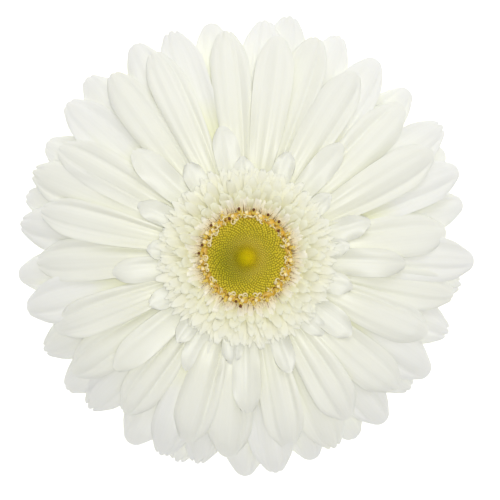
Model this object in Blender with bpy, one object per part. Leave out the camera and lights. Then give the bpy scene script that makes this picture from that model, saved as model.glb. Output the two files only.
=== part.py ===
"""The head of a white gerbera daisy, cut close under its bracts and lying face up.

Metres, +Z up. The stem's cut end rests on the surface, z = 0, and so do the tips of a few outer petals.
Everything is built round the stem's axis, and at the end moved so that the origin is the middle of
the head's footprint, because one side of the head reaches a little further than the other.
Every floret and bract follows one rule: it stands a golden angle on from the one before it,
from the outermost and lowest to the innermost and highest, with a small seeded spread.
"""

import math
import random
from dataclasses import dataclass

import bmesh
import bpy
from mathutils import Matrix, Vector
from mathutils.geometry import delaunay_2d_cdt

MM = 0.001
GOLDEN_ANGLE = math.pi * (3.0 - math.sqrt(5.0))
FIRST_HEADING = math.radians(249.0)
CLEARANCE = 0.3 * MM  # between neighbouring solids
ROUND_STEPS = 30  # flat sides of every turned piece

# The stem and the receptacle that it swells into
STEM_RADIUS = 3.3 * MM
STEM_HEIGHT = 4.0 * MM
RECEPTACLE_RADIUS = 13.2 * MM
RECEPTACLE_RIM = 12.0 * MM
RECEPTACLE_CROWN = 12.6 * MM

# The rings that the florets' roots grow together in, one inside the other
RAY_RING = (RECEPTACLE_RADIUS - 0.2 * MM, RECEPTACLE_RADIUS + 0.6 * MM)
TRANS_RING = (RAY_RING[0] - CLEARANCE - 0.8 * MM, RAY_RING[0] - CLEARANCE)
DISC_RADIUS = 9.2 * MM
OPEN_RING = (DISC_RADIUS + CLEARANCE, TRANS_RING[0] - CLEARANCE)

# Ray florets: the large ones in their spiral, then the small ones that lie over their roots
RAY_COUNT = 60
SMALL_RAY_COUNT = 23
RAY_THICKNESS = 0.65 * MM
RAY_ROOT_RADIUS = 13.4 * MM
RAY_ROOT_HEIGHT = 13.1 * MM
RAY_ROOT_CLIMB = 2.0 * MM  # from the first large floret to the last
BACK_REACH = 57.3 * MM
FRONT_REACH = 51.6 * MM
LEAN = Vector((0.6 * MM, 2.4 * MM))  # the head's longer side
RAY_WIDTH = 10.8 * MM
RAY_TIP_HEIGHT = 3.0 * MM
RAY_TIP_CLIMB = 8.5 * MM
RESTING_TIP_HEIGHT = 0.47 * MM  # middle of the blade, so that its underside is just off the surface
RESTING_SPAN = 21  # every third of the first florets touches down, which spaces them round the head

# Trans florets: the short ones between the rays and the disc
TRANS_COUNT = 72
TRANS_ROOT_RADIUS = 12.2 * MM
TRANS_ROOT_HEIGHT = 16.7 * MM
TRANS_LONGEST = 11.5 * MM
TRANS_SHORTEST = 5.5 * MM

# The disc: a ring of open florets round a field of buds
DISC_HEIGHT = 20.0 * MM
DISC_BUD_COUNT = 130
OPEN_COUNT = 60
OPEN_RING_TOP = 18.6 * MM

# Bracts of the involucre, inner and long to outer and short
BRACT_COUNT = 29
BRACT_WIDTH = 3.0 * MM
BRACT_THICKNESS = 0.6 * MM
CUP_OUTSIDE = [
    (5.6 * MM, STEM_HEIGHT + 0.7 * MM),
    (10.2 * MM, STEM_HEIGHT + 3.3 * MM),
    (RECEPTACLE_RADIUS + 0.9 * MM, RECEPTACLE_RIM - 1.5 * MM),
]


@dataclass
class Blade:
    """One flat floret or bract, as a spine in the plane of its heading and a width along it."""

    heading: float
    root_radius: float
    root_height: float
    tip_radius: float
    tip_height: float
    rise: float  # the spine's slope at its root
    width: float
    root_share: float = 0.22  # of the width, at the root
    widest: float = 0.7  # where along the spine
    tip_share: float = 0.42  # of the width, at the tip
    cup: float = 0.0  # how far the edges stand over the middle
    roll: float = 0.0
    bend: float = 0.0
    droop: float = 1.5  # the power of the spine's fall

    def half_width(self, along):
        """Half of the blade's width at a share of its length."""
        if along < self.widest:
            share = self.root_share + (1.0 - self.root_share) * math.sin(0.5 * math.pi * along / self.widest)
        else:
            past = (along - self.widest) / (1.0 - self.widest)
            share = math.sqrt(1.0 - (1.0 - self.tip_share**2) * past * past)
        return 0.5 * self.width * share

    def spine_height(self, along):
        """Height of the blade's middle at a share of its length."""
        length = self.tip_radius - self.root_radius
        climbed = self.root_height + self.rise * length
        return self.root_height + self.rise * length * along - (climbed - self.tip_height) * along**self.droop

    def point(self, along, across):
        """A point of the blade, for shares of its length and of its half width."""
        half = self.half_width(along)
        rounding = 0.5 * half * across * across * max(0.0, (along - 0.8) / 0.2)
        radius = self.root_radius + (self.tip_radius - self.root_radius) * along - rounding
        side = across * half + self.bend * along * along
        height = self.spine_height(along)
        height += self.cup * across * across * math.sin(math.pi * min(1.0, along + 0.15))
        height += across * half * self.roll
        return Matrix.Rotation(self.heading, 3, "Z") @ Vector((radius, side, height))


def spread(seed, index, count):
    """Seeded draws from -1 to 1 that belong to one floret."""
    draw = random.Random(1000 * seed + index)
    return [draw.uniform(-1.0, 1.0) for _ in range(count)]


def towards_tip(share):
    """Even shares made closer together near the tip, where the outline turns most."""
    return 1.0 - (1.0 - share) ** 1.5


def smooth_step(share):
    """A soft ramp from 0 to 1."""
    share = min(1.0, max(0.0, share))
    return share * share * (3.0 - 2.0 * share)


def material(name, colour, roughness):
    """A plain finish of one colour."""
    made = bpy.data.materials.new(name)
    made.use_nodes = True
    shader = made.node_tree.nodes["Principled BSDF"]
    shader.inputs["Base Color"].default_value = (*colour, 1.0)
    shader.inputs["Roughness"].default_value = roughness
    shader.inputs["Metallic"].default_value = 0.0
    return made


def object_from(bm, name):
    """A scene object that holds the bmesh, facing outwards and split into triangles for a clean union."""
    bmesh.ops.triangulate(bm, faces=bm.faces)
    bmesh.ops.recalc_face_normals(bm, faces=bm.faces)
    mesh = bpy.data.meshes.new(name)
    bm.to_mesh(mesh)
    bm.free()
    made = bpy.data.objects.new(name, mesh)
    bpy.context.scene.collection.objects.link(made)
    return made


def turned(name, profile, steps=ROUND_STEPS):
    """A closed outline of radius and height turned round Z."""
    bm = bmesh.new()
    corners = [bm.verts.new((radius, 0.0, height)) for radius, height in profile]
    edges = [bm.edges.new(pair) for pair in zip(corners, corners[1:])]
    if profile[0][0] > 0.0:
        edges.append(bm.edges.new((corners[-1], corners[0])))
    bmesh.ops.spin(bm, geom=corners + edges, axis=(0, 0, 1), cent=(0, 0, 0), angle=math.tau, steps=steps, use_merge=True)
    bmesh.ops.remove_doubles(bm, verts=bm.verts, dist=0.01 * MM)
    return object_from(bm, name)


def flat_blade(name, blade, thickness, steps):
    """A blade of even thickness. Both its faces are split into triangles alike, so they can't cross."""
    bm = bmesh.new()
    bmesh.ops.create_grid(bm, x_segments=steps, y_segments=2, size=0.5)
    for vertex in bm.verts:
        vertex.co = blade.point(towards_tip(vertex.co.x + 0.5), 2.0 * vertex.co.y)
    bmesh.ops.triangulate(bm, faces=bm.faces, quad_method="FIXED")
    bmesh.ops.solidify(bm, geom=bm.faces, thickness=thickness)
    middle = Vector((0.0, 0.0, 0.5 * thickness))
    lowered = sum((vertex.co.z for vertex in bm.verts), 0.0) / len(bm.verts)
    wanted = sum(blade.spine_height(towards_tip(step / steps)) for step in range(steps + 1)) / (steps + 1)
    if lowered < wanted:
        bmesh.ops.translate(bm, verts=bm.verts, vec=middle)
    else:
        bmesh.ops.translate(bm, verts=bm.verts, vec=-middle)
    return object_from(bm, name)


def slim_blade(name, blade, thickness, steps):
    """A blade with sharp edges: four-sided sections, extruded from the root to the tip."""
    bm = bmesh.new()
    bmesh.ops.create_circle(bm, cap_ends=True, segments=4, radius=1.0)
    face = bm.faces[:][0]
    up = Vector((0.0, 0.0, 0.5 * thickness))

    def place(corners, along):
        middle = blade.point(along, 0.0)
        section = [blade.point(along, -1.0), middle + up, blade.point(along, 1.0), middle - up]
        for corner, position in zip(corners, section):
            corner.co = position

    place(face.verts, 0.0)
    for step in range(1, steps + 1):
        made = bmesh.ops.extrude_face_region(bm, geom=[face, *face.edges])
        face = next(item for item in made["geom"] if isinstance(item, bmesh.types.BMFace))
        place(face.verts, towards_tip(step / steps))
    return object_from(bm, name)


def keep_outer_shell(mesh):
    """Fills hollows that the joining sealed and drops loose scraps: only the largest shell stays."""
    bm = bmesh.new()
    bm.from_mesh(mesh)
    bmesh.ops.triangulate(bm, faces=bm.faces)
    left = set(bm.faces)
    shells = []
    while left:
        waiting = [left.pop()]
        shell = []
        while waiting:
            face = waiting.pop()
            shell.append(face)
            for edge in face.edges:
                for near in edge.link_faces if len(edge.link_faces) == 2 else ():
                    if near in left:
                        left.remove(near)
                        waiting.append(near)
        shells.append(shell)
    shells.sort(key=len)
    spare = [face for shell in shells[:-1] for face in shell]
    bmesh.ops.delete(bm, geom=spare, context="FACES")
    bm.to_mesh(mesh)
    bm.free()


def fused(core, pieces, finish):
    """Joins the pieces to their core in one solid, and removes them."""
    group = bpy.data.collections.new(core.name + "_pieces")
    bpy.context.scene.collection.children.link(group)
    for piece in pieces:
        bpy.context.scene.collection.objects.unlink(piece)
        group.objects.link(piece)
    union = core.modifiers.new("join", "BOOLEAN")
    union.operation = "UNION"
    union.operand_type = "COLLECTION"
    union.collection = group
    union.solver = "MANIFOLD"
    bpy.context.view_layer.update()
    graph = bpy.context.evaluated_depsgraph_get()
    joined = bpy.data.meshes.new_from_object(core.evaluated_get(graph))
    core.modifiers.clear()
    keep_outer_shell(joined)
    core.data = joined
    core.data.materials.clear()
    core.data.materials.append(finish)
    for piece in pieces:
        bpy.data.objects.remove(piece)
    bpy.data.collections.remove(group)
    return core


def make_stem():
    """The cut stub of the stem, which swells into the receptacle that everything grows from."""
    profile = [
        (0.0, 0.0),
        (STEM_RADIUS, 0.0),
        (STEM_RADIUS, STEM_HEIGHT),
        (5.2 * MM, STEM_HEIGHT + 1.6 * MM),
        (9.6 * MM, STEM_HEIGHT + 4.2 * MM),
        (12.6 * MM, RECEPTACLE_RIM - 1.4 * MM),
        (RECEPTACLE_RADIUS, RECEPTACLE_RIM - 0.3 * MM),
        (RECEPTACLE_RADIUS - 0.5 * MM, RECEPTACLE_RIM),
        (0.0, RECEPTACLE_CROWN),
    ]
    stem = turned("stem", profile)
    stem.data.materials.append(material("stem_green", (0.23, 0.36, 0.10), 0.6))
    stem.data.shade_smooth()
    stem.data.set_sharp_from_angle(angle=math.radians(40))
    return stem


def outside_of_cup(radius):
    """Height of the cup's outer face."""
    inner, outer = next((pair for pair in zip(CUP_OUTSIDE, CUP_OUTSIDE[1:]) if radius <= pair[1][0]), CUP_OUTSIDE[-2:])
    share = (radius - inner[0]) / (outer[0] - inner[0])
    return inner[1] + (outer[1] - inner[1]) * share


def bract(index):
    """One bract: rooted lower and shorter the further out it lies."""
    outer = index / (BRACT_COUNT - 1)
    turn, size = spread(4, index, 2)
    root_radius = (9.4 - 4.2 * outer) * MM
    tip_radius = (16.6 - 5.4 * outer + 0.5 * size) * MM
    root_height = outside_of_cup(root_radius) + 0.1 * MM
    tip_height = outside_of_cup(tip_radius) - (1.2 - 0.3 * outer) * MM
    return Blade(
        heading=FIRST_HEADING + (index + 0.5) * GOLDEN_ANGLE + math.radians(2.0) * turn,
        root_radius=root_radius,
        root_height=root_height,
        tip_radius=tip_radius,
        tip_height=tip_height,
        rise=1.1 * (tip_height - root_height) / (tip_radius - root_radius),
        width=BRACT_WIDTH,
        root_share=0.7,
        widest=0.3,
        tip_share=0.12,
        cup=0.2 * MM,
        droop=2.0,
    )


def make_bracts():
    """The green cup of overlapping bracts under the head."""
    cup_profile = [
        (STEM_RADIUS + CLEARANCE, STEM_HEIGHT - 0.9 * MM),
        (STEM_RADIUS + CLEARANCE, STEM_HEIGHT - 0.1 * MM),
        (5.2 * MM, STEM_HEIGHT + 1.6 * MM - 1.3 * CLEARANCE),
        (9.6 * MM, STEM_HEIGHT + 4.2 * MM - 1.3 * CLEARANCE),
        (12.7 * MM, RECEPTACLE_RIM - 1.4 * MM - 1.4 * CLEARANCE),
        (RECEPTACLE_RADIUS + CLEARANCE, RECEPTACLE_RIM - 0.4 * MM),
        (RECEPTACLE_RADIUS + CLEARANCE + 0.6 * MM, RECEPTACLE_RIM - 0.3 * MM),
        *reversed(CUP_OUTSIDE),
    ]
    cup = turned("bracts", cup_profile)
    blades = [slim_blade(f"bract_{index}", bract(index), BRACT_THICKNESS, 2) for index in range(BRACT_COUNT)]
    return fused(cup, blades, material("bract_green", (0.19, 0.32, 0.09), 0.65))


def large_ray(index):
    """One large ray floret. The first are the lowest and reach furthest, and the last lie in front."""
    inner = index / (RAY_COUNT - 1)
    turn, reach, size, lift, twist, hollow, sweep = spread(1, index, 7)
    heading = FIRST_HEADING + index * GOLDEN_ANGLE + math.radians(1.3) * turn
    lean = LEAN.x * math.cos(heading) + LEAN.y * math.sin(heading)
    tip_height = RAY_TIP_HEIGHT + RAY_TIP_CLIMB * inner + 0.9 * MM * lift
    if index < RESTING_SPAN and index % 3 == 0:
        tip_height = RESTING_TIP_HEIGHT
    back_to_front = smooth_step((inner - 0.5) / 0.35)
    return Blade(
        heading=heading,
        root_radius=RAY_ROOT_RADIUS - 0.2 * MM * inner,
        root_height=RAY_ROOT_HEIGHT + RAY_ROOT_CLIMB * inner,
        tip_radius=BACK_REACH + (FRONT_REACH - BACK_REACH) * back_to_front + lean + 1.3 * MM * reach,
        tip_height=tip_height,
        rise=math.tan(math.radians(12.0 + 9.0 * inner)),
        width=RAY_WIDTH + 1.1 * MM * inner + 0.7 * MM * size,
        cup=0.35 * MM + 0.45 * MM * hollow,
        roll=0.07 * twist,
        bend=1.4 * MM * sweep,
    )


def small_ray(index):
    """One small ray floret, over the roots of the large ones."""
    inner = index / (SMALL_RAY_COUNT - 1)
    turn, reach, size, lift, twist, sweep = spread(2, index, 6)
    return Blade(
        heading=FIRST_HEADING + (RAY_COUNT + index) * GOLDEN_ANGLE + math.radians(3.0) * turn,
        root_radius=RAY_ROOT_RADIUS - 0.2 * MM,
        root_height=RAY_ROOT_HEIGHT + RAY_ROOT_CLIMB + 0.65 * MM * inner,
        tip_radius=(25.8 + 15.5 * (1.0 - inner) ** 2.2 + 1.5 * reach) * MM,
        tip_height=(16.6 + 1.3 * inner + 0.3 * lift) * MM,
        rise=math.tan(math.radians(20.0 + 3.0 * inner)),
        width=(4.8 + 3.0 * (1.0 - inner) ** 2 + 0.4 * size) * MM,
        root_share=0.4,
        cup=0.25 * MM,
        roll=0.1 * twist,
        bend=0.8 * MM * sweep,
    )


def make_ray_florets():
    """The white petals, large and small, on the ring that their roots grow together in."""
    inner, outer = RAY_RING
    low, high = RECEPTACLE_RIM + CLEARANCE, RAY_ROOT_HEIGHT + RAY_ROOT_CLIMB + 1.0 * MM
    ring = turned("ray_florets", [(inner, low + 0.1 * MM), (inner, high), (outer - 0.3 * MM, high), (outer, low)])
    petals = [flat_blade(f"ray_{index}", large_ray(index), RAY_THICKNESS, 5) for index in range(RAY_COUNT)]
    petals += [flat_blade(f"small_{index}", small_ray(index), RAY_THICKNESS, 3) for index in range(SMALL_RAY_COUNT)]
    return fused(ring, petals, material("petal_white", (0.88, 0.88, 0.78), 0.5))


def trans_floret(index):
    """One trans floret: the inner ones are shorter and stand up more."""
    inner = index / (TRANS_COUNT - 1)
    turn, reach, size, lift, twist = spread(3, index, 5)
    slope = math.radians(19.0 + 41.0 * inner + 3.0 * lift)
    length = TRANS_LONGEST + (TRANS_SHORTEST - TRANS_LONGEST) * inner + 0.7 * MM * reach
    return Blade(
        heading=FIRST_HEADING + (RAY_COUNT + SMALL_RAY_COUNT + index) * GOLDEN_ANGLE + math.radians(2.0) * turn,
        root_radius=TRANS_ROOT_RADIUS,
        root_height=TRANS_ROOT_HEIGHT + 0.9 * MM * inner,
        tip_radius=TRANS_ROOT_RADIUS + length * math.cos(slope),
        tip_height=TRANS_ROOT_HEIGHT + 0.9 * MM * inner + length * math.sin(slope) - 0.5 * MM,
        rise=math.tan(slope),
        width=(2.7 + 0.3 * size) * MM,
        root_share=0.5,
        tip_share=0.45,
        roll=0.25 * twist,
        droop=2.2,
    )


def make_trans_florets():
    """The cream trans florets, on a ring just inside the petals."""
    inner, outer = TRANS_RING
    low, high = RECEPTACLE_RIM + 2 * CLEARANCE, TRANS_ROOT_HEIGHT + 1.1 * MM
    ring = turned("trans_florets", [(inner, low), (inner, high), (outer, high), (outer, low)])
    florets = [slim_blade(f"trans_{index}", trans_floret(index), 0.7 * MM, 2) for index in range(TRANS_COUNT)]
    return fused(ring, florets, material("trans_cream", (0.82, 0.81, 0.65), 0.55))


def open_floret(index):
    """An open disc floret: a slim tube that widens to its lips. They stand in three rows, and the outer lean."""
    row = index % 3
    turn, size, tilt, shift = spread(5, index, 4)
    heading = FIRST_HEADING + (index + 0.25) * math.tau / OPEN_COUNT + math.radians(1.5) * turn
    radius = sum(OPEN_RING) / 2 + (-0.5, 0.0, 0.5)[row] * MM + 0.1 * MM * shift
    bm = bmesh.new()
    height = (2.6 + 0.5 * size) * MM
    bmesh.ops.create_cone(bm, cap_ends=True, segments=5, radius1=0.4 * MM, radius2=0.68 * MM, depth=height)
    lean = Matrix.Rotation(math.radians((2.0, 12.0, 26.0)[row] + 5.0 * tilt), 4, "Y")
    place = Matrix.Translation((radius, 0.0, OPEN_RING_TOP + 0.3 * height))
    bmesh.ops.transform(bm, matrix=Matrix.Rotation(heading, 4, "Z") @ place @ lean, verts=bm.verts)
    return object_from(bm, f"open_{index}")


def make_open_florets():
    """The ring of open florets round the disc."""
    inner, outer = OPEN_RING
    low = RECEPTACLE_RIM + 3 * CLEARANCE
    ring = turned("open_florets", [(inner, low), (inner, OPEN_RING_TOP), (outer, OPEN_RING_TOP), (outer, low)])
    florets = [open_floret(index) for index in range(OPEN_COUNT)]
    return fused(ring, florets, material("open_floret_gold", (0.72, 0.50, 0.22), 0.6))


def disc_height(radius):
    """Height of the bud field: a low boss in the middle, a dip round it and a full rim."""
    share = radius / DISC_RADIUS
    boss = 0.7 * MM * math.exp(-((share / 0.25) ** 2))
    return DISC_HEIGHT - 0.5 * MM + boss + 0.6 * MM * math.sin(math.pi * min(1.0, share)) ** 2 * share


def make_disc_buds():
    """The closed buds of the disc: a peak for each, in the golden spiral, with low ground between."""
    edge_count = 40
    points = [Vector((DISC_RADIUS * math.cos(turn), DISC_RADIUS * math.sin(turn))) for turn in
              (math.tau * step / edge_count for step in range(edge_count))]
    rows = math.sqrt(DISC_BUD_COUNT)
    for index in range(DISC_BUD_COUNT):
        radius = (DISC_RADIUS - 0.5 * MM) * math.sqrt(index + 0.5) / rows
        heading = FIRST_HEADING + index * GOLDEN_ANGLE
        points.append(Vector((radius * math.cos(heading), radius * math.sin(heading))))
    edges = [(step, (step + 1) % edge_count) for step in range(edge_count)]
    found, _, triangles, *_ = delaunay_2d_cdt(points, edges, [], 1, 0.01 * MM)
    bm = bmesh.new()
    corners = [bm.verts.new((point.x, point.y, disc_height(point.length))) for point in found]
    top = [bm.faces.new([corners[corner] for corner in triangle]) for triangle in triangles]
    wall = bmesh.ops.extrude_face_region(bm, geom=top, use_keep_orig=True)
    for item in wall["geom"]:
        if isinstance(item, bmesh.types.BMVert):
            item.co.z = RECEPTACLE_CROWN + CLEARANCE
    floor = [item for item in wall["geom"] if isinstance(item, bmesh.types.BMFace)]
    bmesh.ops.dissolve_faces(bm, faces=floor)
    bmesh.ops.recalc_face_normals(bm, faces=bm.faces)
    field = [face for face in bm.faces if face.normal.z > 0.3]
    bmesh.ops.poke(bm, faces=field, offset=-0.35 * MM)
    disc = object_from(bm, "disc_buds")
    disc.data.materials.append(material("disc_green", (0.42, 0.40, 0.05), 0.6))
    return disc


def centre_footprint():
    """Moves every piece alike, so that the origin is the middle of the footprint."""
    solids = [made for made in bpy.data.objects if made.type == "MESH"]
    corners = [vertex.co for solid in solids for vertex in solid.data.vertices]
    middle = [0.5 * (min(corner[side] for corner in corners) + max(corner[side] for corner in corners))
              for side in range(2)]
    for solid in solids:
        solid.data.transform(Matrix.Translation((-middle[0], -middle[1], 0.0)))


def clear_scene():
    """Empties the startup scene."""
    for old in list(bpy.data.objects):
        bpy.data.objects.remove(old)


def main():
    clear_scene()
    make_stem()
    make_bracts()
    make_ray_florets()
    make_trans_florets()
    make_open_florets()
    make_disc_buds()
    centre_footprint()


main()
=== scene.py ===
"""The looks of a white gerbera daisy head: petals, florets, bracts and stub in their real finish.

Each piece follows the rule that places its florets on the flower's own axis, and is then moved
to where that axis stands in the frame. Sizes are in metres, except for the corners of turned
outlines, which are in millimetres.
"""

from __future__ import annotations

import logging
import math
import random
from collections.abc import Callable, Iterable
from dataclasses import dataclass
from enum import Enum, IntEnum
from functools import partial
from typing import NamedTuple

import bmesh
import bpy
from mathutils import Matrix, Vector


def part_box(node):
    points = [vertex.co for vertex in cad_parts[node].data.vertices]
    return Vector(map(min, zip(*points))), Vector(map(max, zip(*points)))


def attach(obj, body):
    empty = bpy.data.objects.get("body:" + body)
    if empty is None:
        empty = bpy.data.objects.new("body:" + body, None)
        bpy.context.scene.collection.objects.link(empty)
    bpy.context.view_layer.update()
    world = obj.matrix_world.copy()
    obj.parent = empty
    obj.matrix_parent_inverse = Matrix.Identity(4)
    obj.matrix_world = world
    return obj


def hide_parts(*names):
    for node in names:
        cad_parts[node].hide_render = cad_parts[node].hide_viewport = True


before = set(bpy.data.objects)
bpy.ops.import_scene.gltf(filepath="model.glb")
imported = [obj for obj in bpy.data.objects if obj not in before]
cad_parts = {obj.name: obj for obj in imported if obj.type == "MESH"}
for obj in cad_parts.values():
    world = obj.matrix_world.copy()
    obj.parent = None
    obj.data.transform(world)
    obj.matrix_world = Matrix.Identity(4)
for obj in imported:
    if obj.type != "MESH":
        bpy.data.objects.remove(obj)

MM = 0.001
GOLDEN_ANGLE = math.pi * (3.0 - math.sqrt(5.0))
FIRST_HEADING = math.radians(249.0)
LOWEST = 0.35 * MM  # of a sheet's middle, so that its lower face stays above the table
WHITE = (1.0, 1.0, 1.0, 1.0)
MIXED = {"data_type": "RGBA"}
MULTIPLIED = {"data_type": "RGBA", "blend_type": "MULTIPLY"}
SHARE, UNDER, OVER = 0, 6, 7  # the sockets of a colour mix
TISSUE_IOR = 1.4
THREAD_WELD = 0.0005 * MM
TURN_WELD = 0.002 * MM
LOG = logging.getLogger("gerbera")

Mesh = bmesh.types.BMesh
Material = bpy.types.Material
Node = bpy.types.Node
Adder = Callable[..., Node]
Pair = tuple[float, float]
Outline = tuple[Pair, ...]


class Region(Enum):
    """The parts of the head, by the solid that each one dresses and the name of its finish."""

    RAYS = ("ray_florets", "petal_white")
    TRANS = ("trans_florets", "trans_cream")
    OPEN = ("open_florets", "open_floret_gold")
    BUDS = ("disc_buds", "disc_green")
    BRACTS = ("bracts", "bract_green")
    STEM = ("stem", "stem_green")


def stem_axis() -> Vector:
    """Finds where the flower's axis stands, from the round stem."""
    low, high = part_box("stem")
    return Vector((0.5 * (low.x + high.x), 0.5 * (low.y + high.y), 0.0))


AXIS = stem_axis()


def linear(hex_colour: str) -> tuple[float, float, float, float]:
    """Turns an sRGB hex colour to linear light.

    Args:
        hex_colour: Six hex digits.

    Returns:
        Red, green, blue and an alpha of one.
    """
    shares = [int(hex_colour[start : start + 2], 16) / 255.0 for start in (0, 2, 4)]
    light = [s / 12.92 if s <= 0.04045 else ((s + 0.055) / 1.055) ** 2.4 for s in shares]
    return (light[0], light[1], light[2], 1.0)


def add_node(
    tree: bpy.types.NodeTree,
    kind: str,
    settings: dict[str | int, object] | None = None,
    links: dict[str | int, Node | bpy.types.NodeSocket] | None = None,
) -> Node:
    """Adds a node with its settings and links.

    Args:
        tree: The material's nodes.
        kind: The node's type name, after ShaderNode.
        settings: Properties by name, sockets by name or number, and a ramp's stops as pairs.
        links: What feeds each input: a socket, or a node for its first output in use.

    Returns:
        The new node.
    """
    node = tree.nodes.new("ShaderNode" + kind)
    for key, value in (settings or {}).items():
        if key == "stops":
            ramp = node.color_ramp
            while len(ramp.elements) < len(value):
                ramp.elements.new(0.5)
            for element, (place, colour) in zip(ramp.elements, value):
                element.position = place
                element.color = linear(colour)
        elif isinstance(key, str) and hasattr(node, key):
            setattr(node, key, value)
        else:
            node.inputs[key].default_value = value
    for key, source in (links or {}).items():
        if isinstance(source, Node):
            source = next(output for output in source.outputs if output.enabled)
        tree.links.new(source, node.inputs[key])
    return node


class Seed(IntEnum):
    """The kinds of draws, by the number that each one's row of draws starts from."""

    PETAL = 1
    SMALL_PETAL = 2
    STRAP = 3
    BRACT = 4
    FLORET = 5
    PETAL_FORM = 11
    SMALL_PETAL_FORM = 12
    STRAP_FORM = 13
    FILLER = 14
    LIP = 15
    RIGHT_COIL = 16
    LEFT_COIL = 17
    STATE = 18
    BRISTLE = 19
    BUD = 20
    BRACT_FORM = 21
    HAIR = 22
    COLUMN = 23
    CARPET = 24
    FRINGE = 25
    LOBES = 26


def spread(seed: Seed, index: int, count: int) -> list[float]:
    """Draws numbers from -1 to 1 for one piece of a kind, the same in every run."""
    draw = random.Random(1000 * seed + index)
    return [draw.uniform(-1.0, 1.0) for _ in range(count)]


def smooth_step(share: float) -> float:
    """Gives a soft ramp from 0 to 1."""
    share = min(1.0, max(0.0, share))
    return share * share * (3.0 - 2.0 * share)


def towards_tip(share: float) -> float:
    """Draws even shares closer together near the tip."""
    return 1.0 - (1.0 - share) ** 1.5


def lifted(height: float) -> Matrix:
    """Moves a shape up its own axis."""
    return Matrix.Translation((0.0, 0.0, height))


def rotated(degrees: float, axis: str) -> Matrix:
    """Turns a shape about one of its own axes."""
    return Matrix.Rotation(math.radians(degrees), 4, axis)


def at_heading(heading: float, radius: float, height: float) -> Matrix:
    """Stands a shape at a heading, radius and height, with its +X outwards."""
    return Matrix.Rotation(heading, 4, "Z") @ Matrix.Translation((radius, 0.0, height))


@dataclass(frozen=True)
class Blade:
    """One petal, strap or bract, with its spine in the plane of its heading. Root and tip are radius and height."""

    heading: float
    root: Pair
    tip: Pair
    rise: float
    width: float
    root_share: float = 0.22
    widest: float = 0.7
    tip_share: float = 0.42
    cup: float = 0.0
    roll: float = 0.0
    bend: float = 0.0
    droop: float = 1.5
    crown: float = 0.0
    folds: tuple[float, ...] = ()
    ribs: Pair = (0.0, 0.0)
    margin: float = 0.0
    ripple: float = 0.0
    phase: float = 0.0
    curl: float = 0.0
    teeth: float = 0.0
    twist: float = 0.0

    def half_width(self, along: float) -> float:
        """Gives half of the blade's width.

        Args:
            along: Share of the length, from the root.

        Returns:
            The half width.
        """
        if along < self.widest:
            share = self.root_share + (1.0 - self.root_share) * math.sin(0.5 * math.pi * along / self.widest)
        else:
            past = (along - self.widest) / (1.0 - self.widest)
            share = math.sqrt(max(0.0, 1.0 - (1.0 - self.tip_share**2) * past * past))
        return 0.5 * self.width * share

    def spine_height(self, along: float) -> float:
        """Gives the height of the blade's middle at a share of its length."""
        climb = self.rise * (self.tip[0] - self.root[0])
        return self.root[1] + climb * along - (self.root[1] + climb - self.tip[1]) * along**self.droop

    def relief(self, along: float, across: float) -> float:
        """Gives the height that crowns, folds, ribs, ripples and the tip's curl add to the plain blade.

        Args:
            along: Share of the length, from the root.
            across: Share of the half width, from -1 to 1.

        Returns:
            The height over the plain blade.
        """
        # The form fades out towards the root and at the tip, where the last quarter curls down
        body = smooth_step(along / 0.45) * smooth_step((1.0 - along) / 0.1)
        lines = (-1.0, *self.folds, 1.0)
        low, high = next(pair for pair in zip(lines, lines[1:]) if across <= pair[1] + 1e-6)
        half = 0.5 * (high - low)
        inside = (across - 0.5 * (low + high)) / half
        height = self.crown * half * (1.0 - abs(inside) ** 3) * body
        deep, many = self.ribs
        height += deep * math.sin(math.pi * many * across + math.tau * self.phase) * body
        height += self.margin * smooth_step((abs(across) - 0.6) / 0.4) * body
        height += self.ripple * across**3 * math.sin(math.tau * (1.7 * along + self.phase))
        end = max(0.0, (along - 0.72) / 0.28)
        return height - self.curl * end * end

    def point(self, along: float, across: float) -> Vector:
        """Places a point of the blade.

        Args:
            along: Share of the length, from the root.
            across: Share of the half width, from -1 to 1.

        Returns:
            The point, with the flower's axis at the origin.
        """
        # The last fifth rounds off, and two notches part its end into three teeth
        half = self.half_width(along)
        end = max(0.0, (along - 0.8) / 0.2)
        rounding = half * (1.0 - math.sqrt(1.0 - 0.8 * across * across)) * end**1.4
        gap = math.exp(-(((abs(across) - 0.36) / 0.1) ** 2)) * max(0.0, (along - 0.93) / 0.07)
        radius = self.root[0] + (self.tip[0] - self.root[0]) * along
        radius -= rounding + self.teeth * gap
        side = across * half + self.bend * along * along
        height = self.spine_height(along)
        height += self.cup * across * across * math.sin(math.pi * min(1.0, along + 0.15))
        height += across * half * (self.roll + self.twist * along)
        height = max(height + self.relief(along, across), LOWEST)
        turn_cos, turn_sin = math.cos(self.heading), math.sin(self.heading)
        return Vector((radius * turn_cos - side * turn_sin, radius * turn_sin + side * turn_cos, height))


def new_mesh() -> Mesh:
    """Starts a mesh that carries a UV map.

    Returns:
        The empty mesh.
    """
    bm = bmesh.new()
    bm.loops.layers.uv.new("UVMap")
    return bm


def join(bm: Mesh, shape: Mesh) -> None:
    """Adds a small mesh to a large one, which stays quick however large that is.

    Args:
        bm: The large mesh.
        shape: The small mesh, which is used up.
    """
    carrier = bpy.data.meshes.new("carrier")
    shape.to_mesh(carrier)
    shape.free()
    bm.from_mesh(carrier)
    bpy.data.meshes.remove(carrier)


def scattered(shape: Mesh, places: list[Matrix]) -> Mesh:
    """Makes a mesh of copies of a small one.

    Args:
        shape: The small mesh, which is used up.
        places: One placement for each copy.

    Returns:
        The mesh of all the copies.
    """
    bm = new_mesh()
    for place in places:
        copy = shape.copy()
        bmesh.ops.transform(copy, matrix=place, verts=copy.verts)
        join(bm, copy)
    shape.free()
    return bm


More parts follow.
